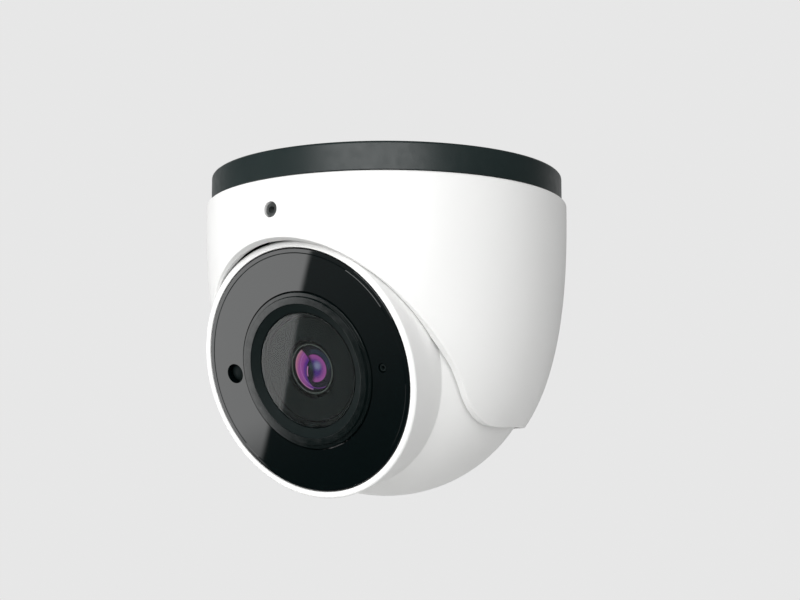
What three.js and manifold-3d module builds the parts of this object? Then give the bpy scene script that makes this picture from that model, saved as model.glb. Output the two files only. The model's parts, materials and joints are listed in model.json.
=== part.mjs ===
// A ceiling-mounted eyeball security camera, in millimetres.
// +Z is up, the origin is the centre of the ceiling face, and the camera looks towards -Y.
import * as THREE from 'three';
import { mergeVertices } from 'three/addons/utils/BufferGeometryUtils.js';
import Module from 'manifold-3d';

const wasm = await Module();
wasm.setup();

// ---- Driving dimensions ----

const GAP = 0.3; // clearance between pieces that rest on each other

const OVER = 1; // how far a cutter reaches past the face it cuts
const ROUND = 0.3; // share of an edge that stays square where it is rounded in two steps

const BASE = { radius: 53.5, height: 8.3, plate: 3, cableHole: 20, edge: 0.8 };
const SKIRT = { inner: 48.6, outer: 50, bottom: 22, flange: 52, flangeThickness: 1.4 };
const CEILING_HOLE = { radius: 2.25, circle: 41.5, count: 3, headRadius: 4.2, headDepth: 1.2 };
const COLLAR = { inner: 30, outer: 34, lining: 1.5 };

// The hood's outline falls from the crown like a squared-off ellipse.
const HOOD = {
  radius: 54.91, crown: 8.53, top: 8.6, bottom: 78.8, wall: 1.65, edge: 0.9,
  length: 81.66, fullness: 2.413, roundness: 3.602,
};
const MOUTH = {
  topY: -54.4, topZ: -26.3, lowY: -24.2, lowZ: -62.7, fillet: 22, floor: 77.7, floorTilt: 3.4, reach: 70,
};
const SWIVEL = { outer: 52.8, height: 7.3 };
const LOCK = { z: 17.7, radius: 2, pocket: 2.3, length: 4, recess: 0.6, point: 0.5, edge: 0.2 };
const SOCKET = { flats: 2, depth: 2 };

const BALL = { radius: 46.45, z: -49.9, wall: 2.4, rear: 30, tilt: 17.4, roll: -1.8 };
const NECK = { radius: 37.6, face: 40.2, edge: 0.6, bore: 33, clearance: 0.45 };
const SPLIT = { depth: -6, flange: 3, flangeInner: 36 };
const SHELL_SCREW = {
  circle: 38.2, count: 3, head: 2.4, headHeight: 2, headEdge: 0.4, shank: 1.25, boss: 4.6,
  pocket: 3, floor: -13, socketDepth: 1.2, point: 0.5,
};
const SEAL = { inner: 42.4, outer: 44.2, depth: 1.2 };

const GLASS = { radius: 35.4, hole: 23.2, thickness: 2.5, bevel: 0.4, bevelWidth: 1.2 };
const BEZEL = {
  radius: 22.9, step: 21.6, inner: 19.6, height: 0.9, stepHeight: 0.32, innerHeight: 0.72, edge: 0.3,
  edgeHeight: 0.81, seat: 17, ledge: 15.5, flange: 1, flangeDrop: 1.5,
};
const WINDOW = { radius: 16.7, drop: 0.4, thickness: 1.5 };
const BAFFLE = { hole: 8.4, thickness: 1.6 };
const LENS = {
  head: 7.4, bore: 6.95, thread: 6, front: 37, shoulder: 31, rear: 20.6, throat: 5, mouth: 3.8, edge: 0.3,
};
const ELEMENTS = {
  front: { radius: 6.65, back: 33.8, edge: 36.3, crown: 37.1 },
  middle: { radius: 4.7, back: 27.6, edge: 28.4, crown: 29.6 },
  rear: { radius: 4.7, back: 21.4, edge: 22.2, crown: 23.4 },
};
const LOCK_NUT = { low: 28.4, high: 30.6, wall: 2.4 };
const SENSOR = {
  circle: 26.7, radius: 2.55, hole: 2.9, drop: 0.9, shoulder: 0.6, crown: 0.1, crownWidth: 0.7,
};
const MIC = { circle: 26.9, tube: 1.05, bore: 0.6, hole: 1.35, capsule: 2.2, capsuleHeight: 2.3, drop: 0.1 };

const BOARD = 1.6; // circuit board thickness
const HOLDER = {
  width: 24, low: -14.5, high: 9, foot: 12.5, top: 25.5, roof: 20.4, wall: 1.4, neck: 7.8, overlap: 0.5,
};
const RACK = {
  board: 10.6, side: 38, post: 15.5, postRadius: 2.2, bracket: 42.4, bracketLow: -2.7, bracketHigh: -1.2,
  main: -13.6, mainRadius: 33.2, rearPost: 28, rearPostStart: 30, slotWidth: 18, slotDepth: 4,
};
const CHIP = { sensor: 9, sensorHeight: 1.6, processor: 15, height: 1.3, y: 17 };
const PLUG = { width: 14, depth: 5, height: 5, y: -20 };
const RIBBON = { width: 14, thickness: 0.4, y: -17.8 };
const SINK = {
  width: 26, depth: 15, plate: 2, fin: 1.4, finHeight: 5, fins: 6, pitch: 4.8, first: -12, root: 0.5,
};
const LIGHT = { board: 31, thickness: 1.4, circle: 28.2, hole: 17.5, outer: 32.4 };
const CUP = { floorBore: 2.6, floor: 3.8, rim: 3.5, rimBore: 2.6, top: 36.9 };
const EMITTER = { radius: 1.9, shoulder: 1.6, domeRadius: 1.2, dome: 2.4, crown: 2.7 };

// The filter changer: a plate with two panes slides across the sensor, drawn by its tab over a linear motor.
const SLIDER = {
  low: 17.4, high: 18.2, halfHeight: 3.7, border: 0.7, tabFoot: -9.6, tabWidth: 3.6, paneInset: 0.1,
};
const FILTER = { travel: 6.5, aperture: 2.8 };
const MOTOR = { y: -9.65, width: 8.4, depth: 5.4, low: 12.8, high: 17.1 };

const GLAND = {
  bore: 2.6, neck: 6.6, flange: 9, tip: 4.5, end: 43, tipEdge: 0.8, tipHeight: 1.5, shoulder: 3.4,
  flangeHeight: 2.6, inside: 5.4,
};
const GLAND_NUT = { low: 1.1, high: 4.3, washer: 0.8, washerRim: 2 };

// Segments round a full turn for large, middling, small and tiny round pieces.
const FINE = 52;
const MEDIUM = 28;
const COARSE = 16;
const TINY = 8;

// ---- Materials ----

const finishes = {
  white: { color: 0xf1f1ef, roughness: 0.38, metalness: 0 },
  black: { color: 0x1c2526, roughness: 0.45, metalness: 0 },
  rubber: { color: 0x222424, roughness: 0.8, metalness: 0 },
  smoke: { color: 0x10191a, roughness: 0.05, metalness: 0 },
  clear: { color: 0xd7e2e4, roughness: 0.04, metalness: 0 },
  coated: { color: 0x7b4fb0, roughness: 0.04, metalness: 0.1 },
  infrared: { color: 0x4d1f2b, roughness: 0.06, metalness: 0 },
  steel: { color: 0x9c9fa1, roughness: 0.3, metalness: 1 },
  aluminium: { color: 0xb9bcbf, roughness: 0.4, metalness: 1 },
  board: { color: 0x1f5a38, roughness: 0.5, metalness: 0 },
  chip: { color: 0x26282a, roughness: 0.55, metalness: 0 },
  copper: { color: 0xb87445, roughness: 0.4, metalness: 1 },
};

function piece(name, geometry, finish) {
  const mesh = new THREE.Mesh(geometry, new THREE.MeshStandardMaterial(finishes[finish]));
  mesh.name = name;
  return mesh;
}

// ---- Solid helpers ----

function merged(geometry) {
  const bare = geometry.clone();
  bare.deleteAttribute('normal');
  bare.deleteAttribute('uv');
  return mergeVertices(bare, 1e-4);
}

function signedVolume(geometry) {
  const place = geometry.getAttribute('position');
  const index = geometry.getIndex().array;
  const [a, b, c] = [new THREE.Vector3(), new THREE.Vector3(), new THREE.Vector3()];
  let volume = 0;
  for (let i = 0; i < index.length; i += 3) {
    a.fromBufferAttribute(place, index[i]);
    b.fromBufferAttribute(place, index[i + 1]);
    c.fromBufferAttribute(place, index[i + 2]);
    volume += a.dot(b.cross(c));
  }
  return volume;
}

function facingOut(geometry) {
  if (signedVolume(geometry) < 0) {
    geometry.getIndex().array.reverse();
  }
  return geometry;
}

function solid(geometry) {
  const closed = facingOut(merged(geometry));
  return new wasm.Manifold(new wasm.Mesh({
    numProp: 3,
    vertProperties: new Float32Array(closed.getAttribute('position').array),
    triVerts: new Uint32Array(closed.getIndex().array),
  }));
}

function shape(manifold) {
  const mesh = manifold.getMesh();
  const geometry = new THREE.BufferGeometry();
  geometry.setAttribute('position', new THREE.BufferAttribute(new Float32Array(mesh.vertProperties), 3));
  geometry.setIndex(new THREE.BufferAttribute(new Uint32Array(mesh.triVerts), 1));
  geometry.computeVertexNormals();
  return geometry;
}

// A round body about Z; each outline point is [radius, height], and the outline is closed for a ring.
function turned(outline, segments = MEDIUM) {
  const points = outline.map(([radius, height]) => new THREE.Vector2(radius, height));
  if (points[0].x > 0) {
    points.push(points[0].clone());
  }
  const geometry = new THREE.LatheGeometry(points, segments);
  geometry.rotateX(Math.PI / 2);
  return facingOut(merged(geometry));
}

function disc(radius, low, high, segments = MEDIUM) {
  return turned([[0, low], [radius, low], [radius, high], [0, high]], segments);
}

function washer(inner, outer, low, high, segments = MEDIUM) {
  return turned([[inner, low], [outer, low], [outer, high], [inner, high]], segments);
}

// A box between two heights, with its middle at x and y.
function block(width, depth, low, high, x = 0, y = 0) {
  const geometry = new THREE.BoxGeometry(width, depth, high - low);
  geometry.translate(x, y, (low + high) / 2);
  return geometry;
}

function hexagon(acrossFlats, low, high) {
  const geometry = new THREE.CylinderGeometry(1, 1, high - low, 6);
  const corner = acrossFlats / Math.sqrt(3);
  geometry.scale(corner, 1, corner);
  geometry.rotateX(Math.PI / 2);
  geometry.translate(0, 0, (low + high) / 2);
  return geometry;
}

function moved(geometry, x, y, z = 0) {
  return geometry.clone().translate(x, y, z);
}

// The points at equal angles on a circle, starting from the angle given in degrees.
function around(radius, count, start = 0) {
  return Array.from({ length: count }, (_, i) => {
    const angle = THREE.MathUtils.degToRad(start + (360 * i) / count);
    return [radius * Math.cos(angle), radius * Math.sin(angle)];
  });
}

// An arc of a circle centred on the axis: points [radius, height] between two heights.
function ballArc(radius, from, to, steps) {
  return Array.from({ length: steps + 1 }, (_, i) => {
    const start = Math.asin(from / radius);
    const angle = start + ((Math.asin(to / radius) - start) * i) / steps;
    return [radius * Math.cos(angle), radius * Math.sin(angle)];
  });
}

function ballRadiusAt(depth, radius = BALL.radius) {
  return Math.sqrt(radius ** 2 - depth ** 2);
}

// The direction of +Y, where the first screw of each ring of screws sits.
const BACK = 90;

// ---- Base, screwed to the ceiling ----

function baseRing() {
  const { radius, height, plate, cableHole, edge } = BASE;
  const lip = SKIRT.bottom - SKIRT.flangeThickness;
  const corner = edge * ROUND;
  let body = solid(turned([
    [cableHole, 0], [radius - edge, 0], [radius - corner, -corner], [radius, -edge],
    [radius, -height], [SKIRT.outer, -height], [SKIRT.outer, -lip], [SKIRT.flange, -lip],
    [SKIRT.flange, -SKIRT.bottom], [SKIRT.inner, -SKIRT.bottom], [SKIRT.inner, -plate],
    [cableHole, -plate],
  ], FINE));
  for (const [x, y] of around(CEILING_HOLE.circle, CEILING_HOLE.count, BACK)) {
    const hole = disc(CEILING_HOLE.radius, -plate - OVER, OVER, COARSE);
    const seat = disc(CEILING_HOLE.headRadius, -plate - OVER, -plate + CEILING_HOLE.headDepth, COARSE);
    body = body.subtract(solid(moved(hole, x, y))).subtract(solid(moved(seat, x, y)));
  }
  return piece('base_ring', shape(body), 'black');
}

// A collar under the base plate whose lower rim follows the ball and brakes it.
function brakeCollar() {
  const { inner, outer, lining } = COLLAR;
  const rest = (radius, clear) => BALL.z + Math.sqrt((BALL.radius + clear) ** 2 - radius ** 2);
  const collar = turned([
    [inner, -BASE.plate - GAP], [outer, -BASE.plate - GAP],
    [outer, rest(outer, GAP * 2 + lining)], [inner, rest(inner, GAP * 2 + lining)],
  ]);
  const pad = turned([
    [inner, rest(inner, GAP + lining)], [outer, rest(outer, GAP + lining)],
    [outer, rest(outer, GAP)], [inner, rest(inner, GAP)],
  ]);
  return [piece('brake_collar', collar, 'black'), piece('brake_lining', pad, 'rubber')];
}

// ---- Hood, which turns round the base ----

function hoodRadius(z) {
  const fall = (-HOOD.crown - z) / HOOD.length;
  return HOOD.radius * (1 - fall ** HOOD.fullness) ** (1 / HOOD.roundness);
}

function hoodShell() {
  const steps = 9;
  const start = -HOOD.top - HOOD.edge;
  const outside = Array.from({ length: steps + 1 }, (_, i) => {
    const z = start - (HOOD.bottom + start) * Math.sin((Math.PI / 2) * (i / steps));
    return [hoodRadius(z), z];
  });
  const inside = outside.map(([radius, z]) => [radius - HOOD.wall, z]).reverse();
  const rim = [
    [HOOD.radius - HOOD.wall, -HOOD.top],
    [HOOD.radius - HOOD.edge, -HOOD.top],
    [HOOD.radius - HOOD.edge * ROUND, -HOOD.top - HOOD.edge * ROUND],
  ];
  return solid(turned([...rim, ...outside, ...inside], FINE));
}

// Everything in front of the slanted mouth and below the floor, which meet in a fillet.
function mouthCutter() {
  const { topY, topZ, lowY, lowZ, fillet, floor, reach } = MOUTH;
  const slope = Math.atan2(topZ - lowZ, lowY - topY);
  const rise = THREE.MathUtils.degToRad(MOUTH.floorTilt);
  const mouthUp = new THREE.Vector2(Math.sin(slope), Math.cos(slope));
  const floorUp = new THREE.Vector2(-Math.sin(rise), Math.cos(rise));
  // The fillet's centre stands one fillet radius above both planes.
  const fromMouth = fillet + mouthUp.x * topY + mouthUp.y * topZ;
  const fromFloor = fillet - floorUp.y * floor;
  const turn = mouthUp.cross(floorUp);
  const centreY = (fromMouth * floorUp.y - fromFloor * mouthUp.y) / turn;
  const centreZ = (fromFloor * mouthUp.x - fromMouth * floorUp.x) / turn;
  const startY = topY - reach * Math.cos(slope);
  const startZ = topZ + reach * Math.sin(slope);
  const outline = new THREE.Shape();
  outline.moveTo(startY, startZ);
  outline.lineTo(centreY - fillet * mouthUp.x, centreZ - fillet * mouthUp.y);
  outline.absarc(centreY, centreZ, fillet, mouthUp.angle() + Math.PI, floorUp.angle() + Math.PI, false);
  outline.lineTo(reach, reach * Math.tan(rise) - floor);
  outline.lineTo(reach, -floor - reach);
  outline.lineTo(startY - reach, -floor - reach);
  outline.lineTo(startY - reach, startZ);
  const across = { depth: reach * 2, bevelEnabled: false, curveSegments: 8 };
  const cutter = new THREE.ExtrudeGeometry(outline, across);
  cutter.rotateX(Math.PI / 2);
  cutter.rotateZ(Math.PI / 2);
  cutter.translate(-reach, 0, 0);
  return solid(cutter);
}

// A hole along Y through the front of the hood at the lock screw's height.
function lockHole(radius, from, to) {
  const drill = disc(radius, from, to, COARSE);
  drill.rotateX(Math.PI / 2);
  drill.translate(0, 0, -LOCK.z);
  return solid(drill);
}

// The room that the neck needs where the eyeball rests against its upper stop.
function neckClearance() {
  const room = disc(NECK.radius + NECK.clearance, NECK.face / 2, NECK.face * 2, FINE);
  room.rotateX(THREE.MathUtils.degToRad(90 + BALL.tilt));
  room.translate(0, 0, BALL.z);
  return solid(room);
}

function hood() {
  const drilled = hoodShell().subtract(lockHole(LOCK.pocket, SKIRT.outer, HOOD.radius + OVER));
  return piece('hood', shape(drilled.subtract(mouthCutter()).subtract(neckClearance())), 'white');
}

// A slip ring fixed inside the hood; it rides on the base's flange and carries the hood.
function swivelRing() {
  const bottom = -(SKIRT.bottom - SKIRT.flangeThickness - GAP);
  const ring = solid(washer(SKIRT.outer + GAP, SWIVEL.outer, bottom, bottom + SWIVEL.height, FINE));
  const drilled = ring.subtract(lockHole(LOCK.pocket, SKIRT.inner, HOOD.radius));
  return piece('swivel_ring', shape(drilled), 'black');
}

// A set screw through the hood's front; its tip bears on the base's skirt.
function lockScrew() {
  const { radius, point, edge } = LOCK;
  const outer = hoodRadius(-LOCK.z) - LOCK.recess;
  const tip = outer - LOCK.length;
  const body = solid(turned([
    [0, tip], [radius - point, tip], [radius, tip + point], [radius, outer - edge], [radius - edge, outer],
    [0, outer],
  ], COARSE));
  const socket = solid(hexagon(SOCKET.flats, outer - SOCKET.depth, outer + OVER));
  const screw = piece('lock_screw', shape(body.subtract(socket)), 'steel');
  screw.position.z = -LOCK.z;
  screw.rotation.x = Math.PI / 2;
  return screw;
}

// ---- Eyeball: heights are depths along the optical axis from the ball's centre ----

function frontShell() {
  const { radius, face, edge, bore } = NECK;
  const corner = edge * ROUND;
  const inner = BALL.radius - BALL.wall;
  const crease = ballRadiusAt(radius);
  const seat = face - GLASS.thickness - GAP;
  const throat = ballRadiusAt(bore, inner);
  const flangeTop = SPLIT.depth + SPLIT.flange;
  let body = solid(turned([
    ...ballArc(BALL.radius, SPLIT.depth, crease, 6),
    [radius, face - edge], [radius - corner, face - corner], [radius - edge, face],
    [GLASS.radius + GAP, face], [GLASS.radius + GAP, seat], [bore, seat],
    ...ballArc(inner, flangeTop, throat, 3).reverse(),
    [SPLIT.flangeInner, flangeTop], [SPLIT.flangeInner, SPLIT.depth],
  ], FINE));
  for (const [x, y] of around(SHELL_SCREW.circle, SHELL_SCREW.count, BACK)) {
    const hole = disc(SHELL_SCREW.shank + GAP, SPLIT.depth - OVER, flangeTop + OVER, TINY);
    body = body.subtract(solid(moved(hole, x, y)));
  }
  return piece('front_shell', shape(body), 'white');
}

function rearShell() {
  const inner = BALL.radius - BALL.wall;
  const top = SPLIT.depth - GAP;
  const flangeLow = top - SPLIT.flange;
  const envelope = solid(turned([
    [0, -BALL.rear], ...ballArc(BALL.radius, -BALL.rear, top, 5), [0, top],
  ], FINE));
  const bosses = around(SHELL_SCREW.circle, SHELL_SCREW.count, BACK);
  let hollow = solid(turned([
    [0, -BALL.rear + BALL.wall], ...ballArc(inner, -BALL.rear + BALL.wall, flangeLow, 3),
    [SPLIT.flangeInner, flangeLow], [SPLIT.flangeInner, top + OVER], [0, top + OVER],
  ], MEDIUM));
  for (const [x, y] of bosses) {
    hollow = hollow.subtract(solid(moved(disc(SHELL_SCREW.boss, -BALL.rear, flangeLow, COARSE), x, y)));
  }
  let body = envelope.subtract(hollow);
  body = body.subtract(solid(disc(GLAND.neck + GAP, -BALL.rear - OVER, -BALL.rear + BALL.wall + OVER)));
  body = body.subtract(solid(washer(SEAL.inner, SEAL.outer, top - SEAL.depth, top + OVER)));
  for (const [x, y] of bosses) {
    const pocket = disc(SHELL_SCREW.pocket, -BALL.radius, SHELL_SCREW.floor, COARSE);
    const hole = disc(SHELL_SCREW.shank + GAP, SHELL_SCREW.floor - OVER, top + OVER, TINY);
    body = body.subtract(solid(moved(pocket, x, y))).subtract(solid(moved(hole, x, y)));
  }
  return piece('rear_shell', shape(body), 'white');
}

function shellSeal() {
  const high = SPLIT.depth - GAP;
  const ring = washer(SEAL.inner + GAP, SEAL.outer - GAP, high - SEAL.depth + GAP, high, FINE);
  return piece('shell_seal', ring, 'rubber');
}

function shellScrews() {
  const { head, headHeight, headEdge, shank, floor, socketDepth, point } = SHELL_SCREW;
  const top = floor - GAP;
  const low = top - headHeight;
  const tip = SPLIT.depth + SPLIT.flange - GAP;
  const body = solid(turned([
    [0, low], [head - headEdge, low], [head, low + headEdge], [head, top], [shank, top], [shank, tip - point],
    [shank - point, tip], [0, tip],
  ], TINY));
  const screw = shape(body.subtract(solid(hexagon(SOCKET.flats, low - OVER, low + socketDepth))));
  return around(SHELL_SCREW.circle, SHELL_SCREW.count, BACK).map(([x, y], i) => (
    piece(`shell_screw_${i + 1}`, moved(screw, x, y), 'steel')
  ));
}

// ---- Face: dark glass, bezel and lens window ----

function frontGlass() {
  const low = NECK.face - GLASS.thickness;
  const body = solid(turned([
    [GLASS.hole, low], [GLASS.radius, low], [GLASS.radius, NECK.face - GLASS.bevel],
    [GLASS.radius - GLASS.bevelWidth, NECK.face], [GLASS.hole, NECK.face],
  ], FINE));
  const sensorHole = moved(disc(SENSOR.hole, low - OVER, NECK.face + OVER, COARSE), -SENSOR.circle, 0);
  const micHole = moved(disc(MIC.hole, low - OVER, NECK.face + OVER, COARSE), MIC.circle, 0);
  return piece('front_glass', shape(body.subtract(solid(sensorHole)).subtract(solid(micHole))), 'smoke');
}

function bezelRing() {
  const { radius, step, inner, seat, ledge, flange, edge } = BEZEL;
  const { height, stepHeight, innerHeight, edgeHeight } = BEZEL;
  const windowLow = NECK.face - WINDOW.drop - WINDOW.thickness - GAP;
  const under = NECK.face - GLASS.thickness - GAP;
  const foot = under - BEZEL.flangeDrop;
  return piece('bezel_ring', turned([
    [radius, NECK.face], [step, NECK.face + stepHeight], [step - edge, NECK.face + edgeHeight],
    [inner + edge, NECK.face + height], [inner, NECK.face + innerHeight],
    [seat, NECK.face - WINDOW.drop], [seat, windowLow], [ledge, windowLow],
    [ledge, foot], [radius + flange, foot], [radius + flange, under], [radius, under],
  ], FINE), 'black');
}

function lensWindow() {
  const top = NECK.face - WINDOW.drop;
  return piece('lens_window', disc(WINDOW.radius, top - WINDOW.thickness, top, MEDIUM), 'clear');
}

function lensBaffle() {
  const top = NECK.face - WINDOW.drop - WINDOW.thickness - GAP * 2;
  return piece('lens_baffle', washer(BAFFLE.hole, BEZEL.ledge - GAP, top - BAFFLE.thickness, top), 'rubber');
}

// ---- Lens ----

function lensBarrel() {
  const { head, bore, thread, front, shoulder, rear, throat, mouth, edge } = LENS;
  return piece('lens_barrel', turned([
    [throat, rear], [thread, rear], [thread, shoulder], [head, shoulder], [head, front - edge],
    [head - edge, front], [bore, front], [bore, front - mouth], [throat, front - mouth],
  ]), 'black');
}

// A lens with a domed front and a flat back.
function lensElement(name, { radius, back, edge, crown }, finish) {
  const steps = 3;
  const dome = Array.from({ length: steps + 1 }, (_, i) => {
    const share = i / steps;
    return [radius * share, crown - (crown - edge) * share ** 2];
  });
  return piece(name, turned([...dome, [radius, back], [0, back]], COARSE), finish);
}

function lensParts() {
  const nut = washer(LENS.thread + GAP, LENS.thread + LOCK_NUT.wall, LOCK_NUT.low, LOCK_NUT.high, COARSE);
  return [
    lensBarrel(),
    lensElement('lens_front_element', ELEMENTS.front, 'coated'),
    lensElement('lens_middle_element', ELEMENTS.middle, 'clear'),
    lensElement('lens_rear_element', ELEMENTS.rear, 'clear'),
    piece('lens_lock_nut', nut, 'aluminium'),
  ];
}

function lensHolder() {
  const { width, low, high, foot, top, roof, wall, neck, overlap } = HOLDER;
  const depth = high - low;
  const middle = (high + low) / 2;
  const box = solid(block(width, depth, foot, roof + wall, 0, middle));
  const room = solid(block(width - 2 * wall, depth - 2 * wall, foot - OVER, roof, 0, middle));
  const tower = solid(disc(neck, roof + overlap, top));
  const bore = solid(disc(LENS.thread + GAP, roof - OVER, top + OVER));
  return piece('lens_holder', shape(box.subtract(room).add(tower).subtract(bore)), 'black');
}

// ---- Day and night filter changer under the lens ----

function filterSlider() {
  const { low, high, halfHeight, border, tabFoot, tabWidth } = SLIDER;
  const reach = FILTER.aperture + border;
  const opening = 2 * FILTER.aperture;
  const middle = FILTER.travel / 2;
  const plate = solid(block(FILTER.travel + 2 * reach, 2 * halfHeight, low, high, middle));
  const tab = solid(block(tabWidth, -tabFoot, low, high, middle, tabFoot / 2));
  let body = plate.add(tab);
  for (const x of [0, FILTER.travel]) {
    body = body.subtract(solid(block(opening, opening, low - OVER, high + OVER, x)));
  }
  return piece('filter_slider', shape(body), 'black');
}

function filterPane(name, x, finish) {
  const side = 2 * (FILTER.aperture - GAP);
  const { low, high, paneInset } = SLIDER;
  return piece(name, block(side, side, low + paneInset, high - paneInset, x), finish);
}

function filterMotor() {
  const { y, width, depth, low, high } = MOTOR;
  return piece('filter_motor', block(width, depth, low, high, 0, y), 'copper');
}

// ---- Electronics ----

// Short round pillars of one length, standing at the corners given.
function pillars(name, corners, low, high) {
  return corners.map(([x, y], i) => (
    piece(`${name}_${i + 1}`, moved(disc(RACK.postRadius, low, high, TINY), x, y), 'aluminium')
  ));
}

function boards() {
  const { board, side, post, bracket, bracketLow, bracketHigh, main, mainRadius, rearPost } = RACK;
  const slot = solid(block(RACK.slotWidth, RACK.slotDepth, bracketLow - OVER, bracketHigh + OVER, 0, RIBBON.y));
  const plate = solid(disc(bracket, bracketLow, bracketHigh)).subtract(slot);
  const boardTop = board + BOARD;
  const mainTop = main + BOARD;
  const under = main - GAP;
  const sensorChip = block(CHIP.sensor, CHIP.sensor, boardTop + GAP, boardTop + GAP + CHIP.sensorHeight);
  const processor = block(CHIP.processor, CHIP.processor, under - CHIP.height, under, 0, CHIP.y);
  const ribbon = block(RIBBON.width, RIBBON.thickness, mainTop + GAP, board - GAP, 0, RIBBON.y);
  return [
    piece('board_bracket', shape(plate), 'aluminium'),
    ...pillars('board_post', around(post * Math.SQRT2, 4, BACK / 2), bracketHigh + GAP, board - GAP),
    ...pillars('rear_post', around(rearPost, 3, RACK.rearPostStart), mainTop + GAP, bracketLow - GAP),
    piece('sensor_board', block(side, side, board, boardTop), 'board'),
    piece('image_sensor', sensorChip, 'chip'),
    piece('main_board', disc(mainRadius, main, mainTop), 'board'),
    piece('processor', processor, 'chip'),
    piece('board_socket', block(PLUG.width, PLUG.depth, under - PLUG.height, under, 0, PLUG.y), 'white'),
    piece('ribbon_cable', ribbon, 'copper'),
  ];
}

function heatSink() {
  const { width, depth, plate, fin, finHeight, fins, pitch, first, root } = SINK;
  const top = RACK.main - GAP * 2 - CHIP.height;
  const foot = top - plate;
  let body = solid(block(width, depth, foot, top, 0, CHIP.y));
  for (let i = 0; i < fins; i += 1) {
    body = body.add(solid(block(fin, depth, foot - finHeight, foot + root, first + pitch * i, CHIP.y)));
  }
  return piece('heat_sink', shape(body), 'aluminium');
}

function lights() {
  const { board, thickness, circle, hole, outer } = LIGHT;
  const foot = board + thickness + GAP;
  const cup = turned([
    [CUP.floorBore, foot], [CUP.floor, foot], [CUP.rim, CUP.top], [CUP.rimBore, CUP.top],
  ], COARSE);
  const emitter = turned([
    [0, foot], [EMITTER.radius, foot], [EMITTER.radius, foot + EMITTER.shoulder - GAP],
    [EMITTER.domeRadius, foot + EMITTER.dome - GAP], [0, foot + EMITTER.crown - GAP],
  ], COARSE);
  const pairs = [circle, -circle].flatMap((y, i) => [
    piece(`light_cup_${i + 1}`, moved(cup, 0, y), 'aluminium'),
    piece(`infrared_light_${i + 1}`, moved(emitter, 0, y), 'clear'),
  ]);
  return [piece('light_board', washer(hole, outer, board, board + thickness), 'board'), ...pairs];
}

function daylightSensor() {
  const { circle, radius, drop, shoulder, crown, crownWidth } = SENSOR;
  const foot = LIGHT.board + LIGHT.thickness + GAP;
  const top = NECK.face - drop;
  const body = turned([
    [0, foot], [radius, foot], [radius, top - shoulder], [radius * crownWidth, top - crown], [0, top],
  ], COARSE);
  return piece('daylight_sensor', moved(body, -circle, 0), 'smoke');
}

function microphone() {
  const { circle, tube, bore, capsule, capsuleHeight, drop } = MIC;
  const foot = LIGHT.board + LIGHT.thickness + GAP;
  const pipe = washer(bore, tube, foot + capsuleHeight + GAP, NECK.face - drop, COARSE);
  return [
    piece('microphone_tube', moved(pipe, circle, 0), 'rubber'),
    piece('microphone', moved(disc(capsule, foot, foot + capsuleHeight, COARSE), circle, 0), 'aluminium'),
  ];
}

// ---- Cable gland at the back of the ball ----

function cableGland() {
  const { bore, neck, flange, tip, end, tipEdge, tipHeight, shoulder, flangeHeight } = GLAND;
  const back = -BALL.rear - GAP;
  const inside = -BALL.rear + BALL.wall + GAP;
  const top = inside + GLAND.inside;
  const nut = solid(hexagon(2 * flange, inside + GLAND_NUT.low, inside + GLAND_NUT.high));
  const nutBore = solid(disc(neck + GAP, inside, top));
  const seal = washer(neck + GAP, flange + GLAND_NUT.washerRim, inside, inside + GLAND_NUT.washer);
  return [
    piece('cable_gland', turned([
      [bore, -end], [tip, -end], [tip + tipEdge, tipHeight - end], [neck, back - shoulder],
      [flange, back - flangeHeight], [flange, back], [neck, back], [neck, top], [bore, top],
    ]), 'rubber'),
    piece('gland_washer', seal, 'rubber'),
    piece('gland_nut', shape(nut.subtract(nutBore)), 'black'),
  ];
}

// ---- Assembly ----

const filterChanger = new THREE.Group();
filterChanger.add(
  filterSlider(), filterMotor(),
  filterPane('infrared_filter', 0, 'infrared'), filterPane('clear_filter', FILTER.travel, 'clear'),
);
const eyeball = new THREE.Group();
eyeball.rotation.z = THREE.MathUtils.degToRad(BALL.roll);
eyeball.add(
  frontShell(), rearShell(), shellSeal(), ...shellScrews(), frontGlass(), bezelRing(), lensWindow(),
  lensBaffle(), ...lensParts(), lensHolder(), ...boards(), heatSink(), ...lights(), daylightSensor(),
  ...microphone(), filterChanger,
);

const carriage = new THREE.Group();
carriage.position.z = BALL.z;
carriage.rotation.x = THREE.MathUtils.degToRad(90 + BALL.tilt);
carriage.add(...cableGland(), eyeball);

const group = new THREE.Group();
group.add(baseRing(), ...brakeCollar(), hood(), swivelRing(), lockScrew(), carriage);

export default group;
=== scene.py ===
"""Ceiling eyeball camera: fine surfaces, finishes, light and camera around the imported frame."""
import json
from math import asin, atan2, cos, hypot, pi, radians, sin, sqrt

import bmesh
import bpy
from mathutils import Matrix, Vector


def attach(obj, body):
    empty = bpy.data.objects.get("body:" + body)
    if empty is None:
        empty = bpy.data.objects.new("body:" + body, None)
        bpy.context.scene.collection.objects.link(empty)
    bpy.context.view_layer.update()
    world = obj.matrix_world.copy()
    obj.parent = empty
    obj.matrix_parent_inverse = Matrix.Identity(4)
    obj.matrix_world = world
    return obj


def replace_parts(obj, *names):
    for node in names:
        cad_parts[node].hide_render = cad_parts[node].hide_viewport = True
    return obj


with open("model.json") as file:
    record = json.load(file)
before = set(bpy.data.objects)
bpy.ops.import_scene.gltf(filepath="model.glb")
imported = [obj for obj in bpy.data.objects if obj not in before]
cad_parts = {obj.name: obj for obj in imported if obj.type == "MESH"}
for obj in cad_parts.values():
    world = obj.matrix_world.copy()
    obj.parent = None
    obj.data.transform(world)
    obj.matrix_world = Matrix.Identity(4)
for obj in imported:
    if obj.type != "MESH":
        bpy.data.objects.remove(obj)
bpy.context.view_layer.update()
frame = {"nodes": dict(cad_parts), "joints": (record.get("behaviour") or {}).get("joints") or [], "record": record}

MM = 0.001
FINE = 192  # steps round a large turned piece
SMALL = 64  # steps round a small one

# ---- Places taken from the frame ----

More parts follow.
